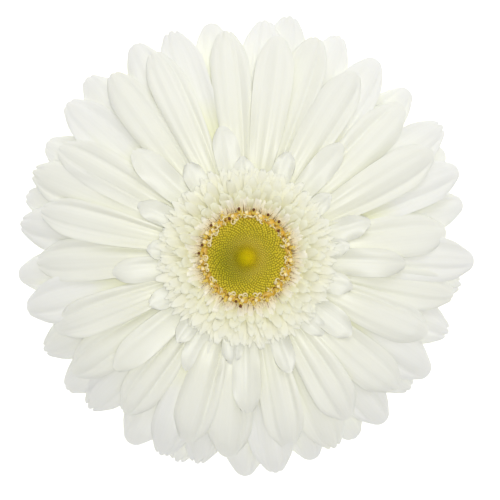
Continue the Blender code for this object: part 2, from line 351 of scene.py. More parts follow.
def cone(sides: int, radii: Pair, depth: float, place: Matrix | None = None) -> Mesh:
    """Makes a small closed cone.

    Args:
        sides: Its flat sides.
        radii: Its radius below and above.
        depth: Its height.
        place: Where its middle stands, if not at the origin.

    Returns:
        The mesh.
    """
    bm, place = new_mesh(), place or Matrix()
    low, high = radii
    bmesh.ops.create_cone(bm, cap_ends=True, segments=sides, radius1=low, radius2=high, depth=depth, matrix=place)
    return bm


def ball(segments: int, rings: int, place: Matrix | None = None) -> Mesh:
    """Makes a ball of radius one, which its placement or the caller brings to size.

    Args:
        segments: Faces round it.
        rings: Faces from pole to pole.
        place: Its placement, if any.

    Returns:
        The mesh.
    """
    bm, place = new_mesh(), place or Matrix()
    bmesh.ops.create_uvsphere(bm, u_segments=segments, v_segments=rings, radius=1.0, matrix=place, calc_uvs=True)
    return bm


def sheet(place: Callable[[float, float], Vector], faces: tuple[int, int], index: int) -> Mesh:
    """Makes a sheet, bent to its form. Its UV map holds the share along, and the share across plus the index.

    Args:
        place: Gives a point for shares along (0 to 1) and across (-1 to 1).
        faces: How many faces it has along and across.
        index: Which blade it is.

    Returns:
        The mesh.
    """
    bm = new_mesh()
    bmesh.ops.create_grid(bm, x_segments=faces[0], y_segments=faces[1], size=0.5)
    layer = bm.loops.layers.uv.active
    for face in bm.faces:
        for loop in face.loops:
            loop[layer].uv = (loop.vert.co.x + 0.5, index + 0.5 + 0.96 * loop.vert.co.y)
    for vertex in bm.verts:
        vertex.co = place(towards_tip(min(1.0, vertex.co.x + 0.5)), 2.0 * vertex.co.y)
    return bm


def sheets(blades: Iterable[Blade], faces: tuple[int, int], first: int = 0) -> Mesh:
    """Makes a mesh of blades.

    Args:
        blades: The blades.
        faces: How many faces each one has along and across.
        first: Which blade the first one is.

    Returns:
        The mesh of all the blades.
    """
    bm = new_mesh()
    for index, blade in enumerate(blades, first):
        join(bm, sheet(blade.point, faces, index))
    return bm


def thread(path: Callable[[float], Vector], radius: float, steps: int, sides: int, taper: float) -> Mesh:
    """Makes a round thread along a path, closed to a point at both its ends.

    Args:
        path: Gives a point for a share of the length.
        radius: The thread's radius at its root.
        steps: Rings along it.
        sides: Sides of each ring.
        taper: The share of the radius that is left at the tip.

    Returns:
        The mesh.
    """
    bm = new_mesh()
    bmesh.ops.create_grid(bm, x_segments=steps, y_segments=sides, size=0.5)
    for vertex in bm.verts:
        along = min(1.0, max(0.0, vertex.co.x + 0.5))
        around = math.tau * (vertex.co.y + 0.5)
        middle = path(along)
        heading = (path(min(1.0, along + 0.01)) - path(max(0.0, along - 0.01))).normalized()
        across = heading.orthogonal() if abs(heading.z) > 0.9 else heading.cross(Vector((0, 0, 1)))
        across.normalize()
        up = across.cross(heading).normalized()
        thick = radius * (1.0 - (1.0 - taper) * along) * math.sqrt(max(0.0, 1.0 - (2.0 * along - 1.0) ** 8))
        vertex.co = middle + (across * math.cos(around) + up * math.sin(around)) * thick
    bmesh.ops.remove_doubles(bm, verts=bm.verts, dist=THREAD_WELD)
    return bm


def turned(profile: Outline, steps: int = 72) -> Mesh:
    """Makes a mesh of a closed outline, turned round the axis.

    Args:
        profile: Radius and height of each corner in millimetres, from the axis or as a loop.
        steps: Flat sides.

    Returns:
        The mesh, closed and facing outwards.
    """
    bm = new_mesh()
    corners = [bm.verts.new((radius * MM, 0.0, height * MM)) for radius, height in profile]
    edges = [bm.edges.new(pair) for pair in zip(corners, corners[1:])]
    if profile[0][0] > 0.0:
        edges.append(bm.edges.new((corners[-1], corners[0])))
    bmesh.ops.spin(
        bm, geom=corners + edges, axis=(0, 0, 1), cent=(0, 0, 0), angle=math.tau, steps=steps, use_merge=True
    )
    bmesh.ops.remove_doubles(bm, verts=bm.verts, dist=TURN_WELD)
    bmesh.ops.recalc_face_normals(bm, faces=bm.faces)
    return bm


def finished(
    bm: Mesh,
    name: str,
    region: Region,
    material: bpy.types.Material,
    wall: float = 0.0,
    underside: bpy.types.Material | None = None,
) -> bpy.types.Object:
    """Makes a piece of the mesh, on the flower's axis, in its finish.

    Args:
        bm: The mesh, which is used up.
        name: The piece's name.
        region: The part of the head that it dresses.
        material: Its finish.
        wall: Thickness to give a mesh of open sheets.
        underside: The finish of their lower faces, where that differs.

    Returns:
        The piece, riding on the head.
    """
    bmesh.ops.translate(bm, verts=bm.verts, vec=AXIS)
    for edge in bm.edges:
        # A cut edge stays crisp when the sheet gets its thickness, so no dark rim is drawn on it
        edge.smooth = not edge.is_boundary
    mesh = bpy.data.meshes.new(name)
    bm.to_mesh(mesh)
    bm.free()
    mesh.shade_smooth()
    mesh.materials.append(material)
    piece = bpy.data.objects.new(name, mesh)
    bpy.context.scene.collection.objects.link(piece)
    if wall:
        solid = piece.modifiers.new("wall", "SOLIDIFY")
        solid.thickness = wall
        solid.offset = 0.0
        solid.use_rim = True
        if underside:
            mesh.materials.append(underside)
            solid.material_offset = 1
    node, slot = region.value
    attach(piece, "root")
    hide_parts(node)
    LOG.info("%s: %d faces", name, len(mesh.polygons))
    return piece


@dataclass(frozen=True)
class Finish:
    """A surface finish. Each kind builds its own shader."""

    name: str

    def material(self) -> Material:
        """Makes the material.

        Returns:
            The material, with its nodes.
        """
        made = bpy.data.materials.new(self.name)
        made.use_nodes = True
        made.node_tree.nodes.clear()
        add = partial(add_node, made.node_tree)
        add("OutputMaterial", {}, {"Surface": self.shader(add)})
        return made

    def shader(self, add: Adder) -> Node:
        """Adds the shader with its pattern."""
        raise NotImplementedError

    def grain(self, add: Adder, scale: float, detail: float, strength: float, depth: float) -> tuple[Node, Node]:
        """Adds a fine mottle and the relief that goes with it.

        Args:
            add: Adds a node to the material.
            scale: Spots to a metre.
            detail: Finer layers of spots.
            strength: Share of the relief that shows.
            depth: The relief's depth.

        Returns:
            The mottle and the relief.
        """
        place = add("TexCoord").outputs["Object"]
        mottle = add("TexNoise", {"Scale": scale, "Detail": detail}, {"Vector": place})
        return mottle, add("Bump", {"Strength": strength, "Distance": depth}, {"Height": mottle})

    def from_axis(self, add: Adder, aside: Vector | None = None) -> Node:
        """Measures how far a point is from the flower's axis, or from a line beside it.

        Args:
            add: Adds a node to the material.
            aside: How far the line stands from the axis.

        Returns:
            The node that gives the distance in metres.
        """
        middle = AXIS + (aside or Vector())
        place = add("TexCoord").outputs["Object"]
        centred = add("Mapping", {"Location": (-middle.x, -middle.y, 0.0)}, {"Vector": place})
        flat = add("VectorMath", {"operation": "MULTIPLY", 1: (1.0, 1.0, 0.0)}, {0: centred})
        return add("VectorMath", {"operation": "LENGTH"}, {0: flat})


@dataclass(frozen=True)
class PetalTissue(Finish):
    """Living petal: thin, waxy and full of air, so light goes in and comes out softened."""

    root: str = "EEEEC8"
    base: str = "F6F6E3"
    middle: str = "F6F6E8"
    tip: str = "F6F6ED"
    # Near the disc the colour is multiplied by this, which is partly cream and partly painted shade
    near_axis_cream_shade: str = "F3F2EC"
    vein: str = "CDD0AE"
    cream_shade_share: float = 0.7
    cream_shade_ends: float = 42.0 * MM
    veins: float = 13.0
    roughness: float = 0.42

    def shader(self, add: Adder) -> Node:
        """Adds the shader, with the fade from the root, the lengthwise veins and a petal's own tint.

        Args:
            add: Adds a node to the material.

        Returns:
            The shader.
        """
        place = add("TexCoord")
        split = add("SeparateXYZ", {}, {"Vector": place.outputs["UV"]})
        across = add("Math", {"operation": "FRACT"}, {0: split.outputs["Y"]})
        which = add("Math", {"operation": "FLOOR"}, {0: split.outputs["Y"]})
        chance = add("TexWhiteNoise", {"noise_dimensions": "1D"}, {"W": which})
        stops = ((0.0, self.root), (0.2, self.base), (0.45, self.middle), (1.0, self.tip))
        fade = add("ValToRGB", {"stops": stops}, {"Fac": split.outputs["X"]})
        # Petals stand out from each other by a few percent of brightness
        own = add("MapRange", {"To Min": 0.965, "To Max": 1.0}, {"Value": chance})
        shade = add("CombineColor", {}, {0: own, 1: own, 2: own})
        toned = add("Mix", MULTIPLIED | {SHARE: 1.0}, {UNDER: fade, OVER: shade})
        # The florets nearest the disc are creamier in their own colour, and darker as painted shade
        limits = {"From Min": 14.0 * MM, "From Max": self.cream_shade_ends, "To Min": self.cream_shade_share, "To Max": 0.0}
        inward = add("MapRange", limits, {"Value": self.from_axis(add)})
        cream_shaded = add("Mix", MULTIPLIED | {OVER: linear(self.near_axis_cream_shade)}, {SHARE: inward, UNDER: toned})
        # Veins run lengthwise about 0.9 mm apart
        count = add("Math", {"operation": "MULTIPLY", 1: math.tau * self.veins}, {0: across})
        wave = add("Math", {"operation": "SINE"}, {0: count})
        vein = add("MapRange", {"From Min": 0.3, "From Max": 1.0, "To Max": 0.025}, {"Value": wave})
        veined = add("Mix", MIXED | {OVER: linear(self.vein)}, {SHARE: vein, UNDER: cream_shaded})
        # Skin cells are far too fine to show, so they are drawn 0.35 mm wide
        cells = add("TexNoise", {"Scale": 2800.0, "Detail": 2.0}, {"Vector": place.outputs["Object"]})
        height = add("Math", {"operation": "MULTIPLY_ADD", 1: 0.25}, {0: cells, 2: wave})
        relief = add("Bump", {"Strength": 0.06, "Distance": 0.06 * MM}, {"Height": height})
        settings = {
            "Roughness": self.roughness,
            "IOR": TISSUE_IOR,
            "Specular IOR Level": 0.5,
            "Subsurface Weight": 0.15,
            "Subsurface Radius": (1.0, 0.95, 0.7),
            "Subsurface Scale": 0.8 * MM,
        }
        return add("BsdfPrincipled", settings, {"Base Color": veined, "Normal": relief})


@dataclass(frozen=True)
class FloretSkin(Finish):
    """Moist floret tissue of one hue, mottled from floret to floret, paler higher up and darker lower down as painted
    shade.
    """

    low: str
    high: str
    glow: float = 0.2
    roughness: float = 0.45

    def shader(self, add: Adder) -> Node:
        """Adds the shader, with the painted shade that fades out upwards and the mottling.

        Args:
            add: Adds a node to the material.

        Returns:
            The shader.
        """
        split = add("SeparateXYZ", {}, {"Vector": add("TexCoord").outputs["Object"]})
        # Mottles are 1.4 mm wide, so that one floret differs from the next
        mottle, relief = self.grain(add, 700.0, 3.0, 0.3, 0.05 * MM)
        # Painted shade: lower down among the florets the colour is darker, and higher up it is paler
        up = add("MapRange", {"From Min": 18.0 * MM, "From Max": 21.5 * MM}, {"Value": split.outputs["Z"]})
        mixed = add("Math", {"operation": "MULTIPLY_ADD", 1: 0.7}, {0: mottle, 2: up})
        level = add("Math", {"operation": "SUBTRACT", 1: 0.3}, {0: mixed})
        fade = add("ValToRGB", {"stops": ((0.0, self.low), (0.9, self.high))}, {"Fac": level})
        settings = {
            "Roughness": self.roughness,
            "IOR": TISSUE_IOR,
            "Subsurface Weight": self.glow,
            "Subsurface Radius": (1.0, 0.8, 0.4),
            "Subsurface Scale": 0.6 * MM,
        }
        return add("BsdfPrincipled", settings, {"Base Color": fade, "Normal": relief})


@dataclass(frozen=True)
class BudSkin(Finish):
    """Skin of the closed buds: yellow in the middle, olive and painted shade round it, yellow green further out."""

    middle: str = "F8E012"
    inner: str = "E6CE0E"
    # Olive, partly the buds' own colour and partly painted shade of the dip round the boss
    olive_dip_shade: str = "CBB31C"
    straw: str = "D7C24A"
    outer: str = "DBCA3A"
    rim: str = "E4D048"
    # Painted shade, drawn on the sides of the buds under their tips
    gap: str = "BDB030"
    # Painted shade over one side of the disc: its colour, its heading and its distance from the axis
    side_shade: str = "D8DFB8"
    side_shade_at: float = math.radians(200.0)
    side_shade_reach: float = 3.5 * MM

    def shader(self, add: Adder) -> Node:
        """Adds the shader: rings of hue, painted shade under each bud's tip, and painted shade on one side of the disc.

        Args:
            add: Adds a node to the material.

        Returns:
            The shader.
        """
        uv = add("SeparateXYZ", {}, {"Vector": add("TexCoord").outputs["UV"]})
        outward = add("MapRange", {"From Max": 9.6 * MM}, {"Value": self.from_axis(add)})
        hues = (self.middle, self.inner, self.olive_dip_shade, self.straw, self.outer, self.rim)
        stops = tuple(zip((0.0, 0.15, 0.26, 0.42, 0.7, 1.0), hues))
        rings = add("ValToRGB", {"stops": stops}, {"Fac": outward})
        tip = add("MapRange", {"From Min": 0.45, "From Max": 0.9}, {"Value": uv.outputs["Y"]})
        # The middle is smooth: its young buds have closed up, and their sides don't show, so the painted shade on them
        # fades out there
        depth = add("MapRange", {"From Min": 0.15, "From Max": 0.6}, {"Value": outward})
        # Mottles are 0.7 mm wide, as wide as a bud
        mottle, relief = self.grain(add, 1500.0, 2.0, 0.3, 0.04 * MM)
        uneven = add("Math", {"operation": "MULTIPLY_ADD", 1: 0.5, 2: -0.25}, {0: mottle})
        shown = add("Math", {"operation": "ADD", "use_clamp": True}, {0: tip, 1: uneven})
        shade = add("Math", {"operation": "SUBTRACT", 0: 1.0}, {1: shown})
        # Painted shade: the sides under each bud's tip take the darker gap colour
        sides = add("Math", {"operation": "MULTIPLY"}, {0: shade, 1: depth})
        skin = add("Mix", MIXED | {OVER: linear(self.gap)}, {SHARE: sides, UNDER: rings})
        # Painted shade: one side of the disc is drawn darker, as if the light fell from the other side, and a little
        # greener in its own colour
        aside = self.side_shade_reach * Vector((math.cos(self.side_shade_at), math.sin(self.side_shade_at), 0.0))
        limits = {"From Min": 1.0 * MM, "From Max": 7.8 * MM, "To Min": 1.0, "To Max": 0.0}
        soft = limits | {"interpolation_type": "SMOOTHSTEP"}
        side_shade = add("MapRange", soft, {"Value": self.from_axis(add, aside)})
        side_shaded = add("Mix", MULTIPLIED | {OVER: linear(self.side_shade)}, {SHARE: side_shade, UNDER: skin})
        settings = {
            "Roughness": 0.5,
            "IOR": TISSUE_IOR,
            "Specular IOR Level": 0.12,
            "Subsurface Weight": 0.15,
            "Subsurface Radius": (0.8, 1.0, 0.3),
            "Subsurface Scale": 0.4 * MM,
        }
        return add("BsdfPrincipled", settings, {"Base Color": side_shaded, "Normal": relief})


@dataclass(frozen=True)
class LeafSkin(Finish):
    """Green skin of bracts and stem: matt, and mottled at random."""

    dark: str = "4E6B26"
    light: str = "8CA552"
    heart: str = "DDE0B8"
    pith: str = "C6CE96"
    bundles: str = "8FA45A"
    rind: str = "6F8A3C"

    def shader(self, add: Adder) -> Node:
        """Adds the shader, with the mottled green, and a pale face where the stem is cut.

        Args:
            add: Adds a node to the material.

        Returns:
            The shader.
        """
        split = add("SeparateXYZ", {}, {"Vector": add("TexCoord").outputs["Object"]})
        # Mottles are 2.2 mm wide, a little narrower than a bract
        mottle, relief = self.grain(add, 450.0, 4.0, 0.4, 0.1 * MM)
        green = add("ValToRGB", {"stops": ((0.3, self.dark), (0.7, self.light))}, {"Fac": mottle})
        # The cut shows pale pith with a ring of darker bundles 2.3 mm from the axis
        ring = add("MapRange", {"From Min": 0.0, "From Max": 3.4 * MM}, {"Value": self.from_axis(add)})
        stops = ((0.0, self.heart), (0.55, self.pith), (0.68, self.bundles), (0.8, self.pith), (0.95, self.rind))
        cut = add("ValToRGB", {"stops": stops}, {"Fac": ring})
        face = add("Math", {"operation": "LESS_THAN", 1: 0.1 * MM}, {0: split.outputs["Z"]})
        skin = add("Mix", MIXED, {SHARE: face, UNDER: green, OVER: cut})
        settings = {
            "Roughness": 0.6,
            "IOR": TISSUE_IOR,
            "Subsurface Weight": 0.08,
            "Subsurface Radius": (0.5, 1.0, 0.3),
            "Subsurface Scale": 0.5 * MM,
        }
        return add("BsdfPrincipled", settings, {"Base Color": skin, "Normal": relief})


@dataclass(frozen=True)
class Acrylic(Finish):
    """Matt white acrylic table, lit a little from below, as flowers are photographed on."""

    colour: str = "F7F7F5"
    lit: float = 0.5

    def shader(self, add: Adder) -> Node:
        """Adds the shader, with a very faint grain, which keeps the sheet from looking painted.

        Args:
            add: Adds a node to the material.

        Returns:
            The shader.
        """
        place = add("TexCoord").outputs["Object"]
        # The real grain is far too fine to show, so it is drawn 1.1 mm wide
        grain = add("TexNoise", {"Scale": 900.0, "Detail": 2.0}, {"Vector": place})
        rough = add("MapRange", {"To Min": 0.55, "To Max": 0.65}, {"Value": grain})
        settings = {"Base Color": linear(self.colour), "Emission Color": WHITE, "Emission Strength": self.lit}
        return add("BsdfPrincipled", settings, {"Roughness": rough})


@dataclass
class RayFlorets:
    """The white petals: the large ones in their spiral, and the small ones over their roots."""

    count: int = 60
    small_count: int = 23
    root_radius: float = 13.4 * MM
    root_height: float = 13.1 * MM
    root_climb: float = 2.0 * MM
    back_reach: float = 57.3 * MM
    front_reach: float = 51.6 * MM
    lean: Pair = (-0.6 * MM, 3.5 * MM)
    oval: float = 0.5 * MM
    width: float = 11.2 * MM
    wall: float = 0.28 * MM
    front_from: int = 36
    resting_until: int = 21
    resting_height: float = 0.47 * MM
    large_faces: tuple[int, int] = (32, 20)
    small_faces: tuple[int, int] = (20, 10)
    first_small: int = 100
    ring: Outline = ((13.0, 12.4), (13.0, 16.1), (13.5, 16.1), (13.8, 12.3))
    finish: PetalTissue = PetalTissue("petal_tissue")
    underside: PetalTissue = PetalTissue(
        "petal_tissue_underside", root="C9D27A", base="DDE2A0", middle="E6E9BC", tip="EEF0D8", roughness=0.6
    )
    # Painted shade: the back petals' roots and bases are a deeper yellow green, so the gaps between the front petals
    # look shaded
    shaded: PetalTissue = PetalTissue(
        "petal_tissue_shaded", root="DDE08E", base="EFF0C0", middle="F5F5EC", tip="F6F6F2"
    )
    # Painted shade: the small petals are drawn greyer, as if in shade beside the frill
    small_shaded: PetalTissue = PetalTissue(
        "petal_tissue_small_shaded", root="E4E4BE", base="ECECDA", middle="EFEFE1", tip="EFEFE4", near_axis_cream_shade="FBFBF6"
    )

    def large(self, index: int) -> Blade:
        """Forms one large petal.

        Args:
            index: Its place in the spiral, from the outermost.

        Returns:
            The petal's blade.
        """
        inner = index / (self.count - 1)
        turn, reach, size, lift, twist, hollow, sweep = spread(Seed.PETAL, index, 7)
        side, groove, second, margin, ripple, phase, curl, teeth, crown, warp = spread(Seed.PETAL_FORM, index, 10)
        heading = FIRST_HEADING + index * GOLDEN_ANGLE + math.radians(1.3) * turn
        # The head is a little longer along Y than along X
        lean = self.lean[0] * math.cos(heading) + self.lean[1] * math.sin(heading) - self.oval * math.cos(2.0 * heading)
        back_to_front = smooth_step((inner - 0.5) / 0.35)
        tip_radius = self.back_reach + (self.front_reach - self.back_reach) * back_to_front + lean + 1.3 * MM * reach
        # Towards the bottom of the photograph the petals stand further apart and arch more
        low = 0.5 - 0.5 * math.sin(heading)
        tip_height = (3.0 + 8.5 * inner + 0.5 * lift + (0.5 + 1.1 * low) * back_to_front) * MM
        fall = (1.8 + 1.2 * curl - (1.1 + 0.6 * curl) * (1.0 - 0.7 * low) * back_to_front) * MM
        # Every third of the outer petals rests on the table, and they carry the rim
        if index < self.resting_until and index % 3 == 0:
            tip_height, fall = self.resting_height, 0.0
        # Folds lie on the mesh's own lines, so they stay crisp
        wide, slim = round(0.5 + 0.14 * groove, 1), round(-0.45 + 0.14 * second, 1)
        folds = (slim, wide) if margin > 0.0 else (wide,)
        return Blade(
            heading=heading,
            root=(self.root_radius - 0.2 * MM * inner, self.root_height + self.root_climb * inner),
            tip=(tip_radius, tip_height),
            rise=math.tan(math.radians(12.0 + 9.0 * inner)),
            width=self.width - 1.1 * MM * back_to_front + 0.7 * MM * size,
            widest=0.75,
            cup=0.35 * MM + 0.45 * MM * hollow,
            roll=0.07 * twist,
            bend=1.4 * MM * sweep,
            crown=(1.1 + 0.35 * crown + 0.7 * low) * MM,
            folds=tuple(-fold for fold in reversed(folds)) if side > 0.0 else folds,
            ribs=((0.1 + 0.05 * ripple) * MM, 3.2 + 0.8 * reach),
            margin=(0.35 + 0.25 * margin) * MM,
            ripple=(0.35 + 0.2 * ripple) * MM,
            phase=0.5 * phase,
            curl=fall,
            teeth=max(0.0, 0.3 + teeth) * 0.7 * MM,
            twist=0.12 * warp,
        )

    def small(self, index: int) -> Blade:
        """Forms one small petal.

        Args:
            index: Its place in the spiral, on from the large ones.

        Returns:
            The petal's blade.
        """
        inner = index / (self.small_count - 1)
        turn, reach, size, lift, twist, sweep = spread(Seed.SMALL_PETAL, index, 6)
        groove, margin, ripple, phase, curl, teeth = spread(Seed.SMALL_PETAL_FORM, index, 6)
        return Blade(
            heading=FIRST_HEADING + (self.count + index) * GOLDEN_ANGLE + math.radians(3.0) * turn,
            root=(self.root_radius - 0.2 * MM, self.root_height + self.root_climb + 0.65 * MM * inner),
            tip=((25.8 + 15.5 * (1.0 - inner) ** 2.2 + 1.5 * reach) * MM, (16.6 + 1.3 * inner + 0.3 * lift) * MM),
            rise=math.tan(math.radians(20.0 + 3.0 * inner)),
            width=(4.8 + 3.0 * (1.0 - inner) ** 2 + 0.4 * size) * MM,
            root_share=0.4,
            tip_share=0.32 + 0.14 * teeth,
            cup=0.3 * MM,
            roll=0.1 * twist,
            bend=0.8 * MM * sweep,
            crown=0.5 * MM,
            folds=(round(0.4 * groove, 1),),
            margin=(0.2 + 0.3 * margin) * MM,
            ripple=(0.4 + 0.25 * ripple) * MM,
            phase=0.5 * phase,
            curl=(0.2 + 0.5 * curl) * MM,
            teeth=max(0.0, teeth) * 0.6 * MM,
        )

    def build(self) -> None:
        """Builds the petals in three pieces, back, front and small, with the ring that holds them."""
        tissue, underside = self.finish.material(), self.underside.material()
        finished(turned(self.ring), "petal_ring", Region.RAYS, tissue)
        large = [self.large(index) for index in range(self.count)]
        small = [self.small(index) for index in range(self.small_count)]
        for name, bm, material in (
            ("petals_back", sheets(large[: self.front_from], self.large_faces), self.shaded.material()),
            ("petals_front", sheets(large[self.front_from :], self.large_faces, self.front_from), tissue),
            ("petals_small", sheets(small, self.small_faces, self.first_small), self.small_shaded.material()),
        ):
            finished(bm, name, Region.RAYS, material, self.wall, underside)


class Draws(NamedTuple):
    """One floret's draws, each from -1 to 1."""

    turn: float
    reach: float
    size: float
    lift: float
    twist: float
    ripple: float = 0.0
    phase: float = 0.0
    curl: float = 0.0
    teeth: float = 0.0
    sweep: float = 0.0


@dataclass(frozen=True)
class StrapKind:
    """One kind of floret in the frill, in millimetres. A pair is a middle value and what a draw of 1 adds."""

    piece: str
    count: int
    faces: tuple[int, int]
    spiral_from: int
    swing: float
    width: Pair
    ripple: Pair
    curl: Pair
    bend: float
    teeth: Pair = (0.0, 0.7)
    tip_share: Pair = (0.3, 0.0)
    root_share: float = 0.6
    roll: float = 0.08
    cup: float = 0.15
    droop: float = 2.1

    def blade(self, index: int, drawn: Draws, root: Pair, tip: Pair, rise: float) -> Blade:
        """Forms one floret.

        Args:
            index: Its place among its kind.
            drawn: Its draws.
            root: Radius and height of its root.
            tip: Radius and height of its tip.
            rise: The slope at its root.

        Returns:
            The floret's blade.
        """
        return Blade(
            heading=FIRST_HEADING + (self.spiral_from + index) * GOLDEN_ANGLE + math.radians(self.swing) * drawn.turn,
            root=root,
            tip=tip,
            rise=rise,
            width=(self.width[0] + self.width[1] * drawn.size) * MM,
            root_share=self.root_share,
            tip_share=self.tip_share[0] + self.tip_share[1] * drawn.teeth,
            cup=self.cup * MM,
            roll=self.roll * drawn.twist,
            bend=self.bend * MM * drawn.sweep,
            droop=self.droop,
            ripple=(self.ripple[0] + self.ripple[1] * drawn.ripple) * MM,
            phase=drawn.phase,
            curl=(self.curl[0] + self.curl[1] * drawn.curl) * MM,
            teeth=max(0.0, self.teeth[0] + self.teeth[1] * drawn.teeth) * MM,
        )


@dataclass
class TransFlorets:
    """The short cream florets between the petals and the disc, in a dense frill."""

    root_radius: float = 12.2 * MM
    root_height: float = 16.7 * MM
    longest: float = 11.5 * MM
    shortest: float = 5.5 * MM
    wall: float = 0.1 * MM
    ring: Outline = ((11.9, 12.6), (11.9, 17.7), (12.7, 17.7), (12.7, 12.6))
    straps: StrapKind = StrapKind(
        "trans_straps", 72, (12, 6), 83, 4.0, (2.2, 0.3), (0.1, 0.1), (0.15, 0.25), 0.9,
        tip_share=(0.3, 0.15), root_share=0.5, droop=2.2,
    )  # fmt: skip
    fillers: StrapKind = StrapKind(
        "trans_frill", 260, (9, 4), 200, 4.0, (1.4, 0.4), (0.08, 0.08), (0.1, 0.15), 1.3,
        teeth=(0.12, 0.6), tip_share=(0.27, 0.15), cup=0.04,
    )  # fmt: skip
    broad: StrapKind = StrapKind(
        "trans_carpet", 84, (9, 5), 600, 2.0, (3.2, 0.4), (0.2, 0.12), (0.3, 0.3), 0.8
    )
    youngest: StrapKind = StrapKind(
        "trans_fringe", 190, (7, 3), 0, 3.0, (1.2, 0.25), (0.15, 0.0), (0.3, 0.0), 0.5,
        teeth=(0.0, 0.0), tip_share=(0.25, 0.0), roll=0.25, droop=2.2,
    )  # fmt: skip
    finish: PetalTissue = PetalTissue(
        "floret_tissue_cream",
        root="F2EDC4",
        base="F4F0CC",
        middle="F8F5DF",
        tip="F4F4E7",
        near_axis_cream_shade="F8F8E6",
        cream_shade_share=1.0,
        cream_shade_ends=23.5 * MM,
        veins=3.0,
        roughness=0.55,
    )
    warm: PetalTissue = PetalTissue(
        "floret_tissue_warm", root="F6EAB0", base="F9F1CC", middle="F8F2D8", tip="F9F6E3", near_axis_cream_shade="FFFFFF", veins=2.0
    )

    def strap(self, index: int) -> Blade:
        """Forms one of the florets that the solids show.

        Args:
            index: Its place in the spiral, from the longest.

        Returns:
            The strap's blade.
        """
        inner = index / (self.straps.count - 1)
        drawn = Draws(*spread(Seed.STRAP, index, 5), *spread(Seed.STRAP_FORM, index, 5))
        slope = math.radians(19.0 + 26.0 * inner + 3.0 * drawn.lift)
        length = self.longest + (self.shortest - self.longest) * inner + 0.7 * MM * drawn.reach
        root = (self.root_radius, self.root_height + 0.9 * MM * inner)
        tip = (root[0] + length * math.cos(slope), root[1] + length * math.sin(slope) - 0.6 * MM)
        return self.straps.blade(index, drawn, root, tip, 1.5 * math.tan(slope))

    def filler(self, index: int) -> Blade:
        """Forms one of the slimmer straps that fill the frill. They climb from the root and lie flat at the tip.

        Args:
            index: Its place among them, from the longest.

        Returns:
            The strap's blade.
        """
        inner = index / (self.fillers.count - 1)
        drawn = Draws(*spread(Seed.FILLER, index, 10))
        root = (self.root_radius - (0.2 + 0.4 * inner) * MM, self.root_height + (0.3 + 1.2 * inner) * MM)
        tip = (
            (22.3 - 7.4 * inner**1.6 + 0.7 * drawn.reach) * MM,
            (19.3 + 1.5 * inner**0.8 + 0.15 * drawn.lift) * MM,
        )
        return self.fillers.blade(index, drawn, root, tip, 1.9 * (tip[1] - root[1]) / (tip[0] - root[0]))

    def carpet(self, index: int) -> Blade:
        """Forms one of the broad straps that lie under the frill.

        Args:
            index: Its place among them.

        Returns:
            The strap's blade.
        """
        drawn = Draws(*spread(Seed.CARPET, index, 10))
        root = (self.root_radius - 0.3 * MM, self.root_height + (0.3 + 0.2 * drawn.lift) * MM)
        tip = ((21.6 + 0.7 * drawn.reach) * MM, (18.9 + 0.3 * drawn.lift) * MM)
        return self.broad.blade(index, drawn, root, tip, 1.8 * (tip[1] - root[1]) / (tip[0] - self.root_radius))

    def fringe(self, index: int) -> Blade:
        """Forms one of the youngest straps, which stand short and close behind the open florets.

        Args:
            index: Its place among them.

        Returns:
            The strap's blade.
        """
        *first, phase, sweep = spread(Seed.FRINGE, index, 7)
        drawn = Draws(*first, phase=phase, sweep=sweep)
        slope = math.radians(33.0 + 9.0 * drawn.lift)
        length = (3.3 + 1.0 * drawn.reach) * MM
        root = (self.root_radius - (1.0 - 0.15 * drawn.size) * MM, self.root_height + (1.75 + 0.2 * drawn.size) * MM)
        tip = (self.root_radius + length * math.cos(slope), root[1] + length * math.sin(slope) - 0.4 * MM)
        return self.youngest.blade(index, drawn, root, tip, math.tan(slope))

    def build(self) -> None:
        """Builds the frill in four pieces, from the broad straps under it to the short ones, and its ring."""
        tissue, warm = self.finish.material(), self.warm.material()
        finished(turned(self.ring), "trans_ring", Region.TRANS, tissue)
        for kind, form, material in (
            (self.straps, self.strap, tissue),
            (self.fillers, self.filler, tissue),
            (self.broad, self.carpet, tissue),
            (self.youngest, self.fringe, warm),
        ):
            bm = sheets(map(form, range(kind.count)), kind.faces)
            finished(bm, kind.piece, Region.TRANS, material, self.wall)


class OpenState(Enum):
    """How far an open floret has come."""

    CLOSED = "a rounded golden bud"
    CURLED = "lips curled back round a pale stigma"
    SHEDDING = "a dark column of spent anthers"


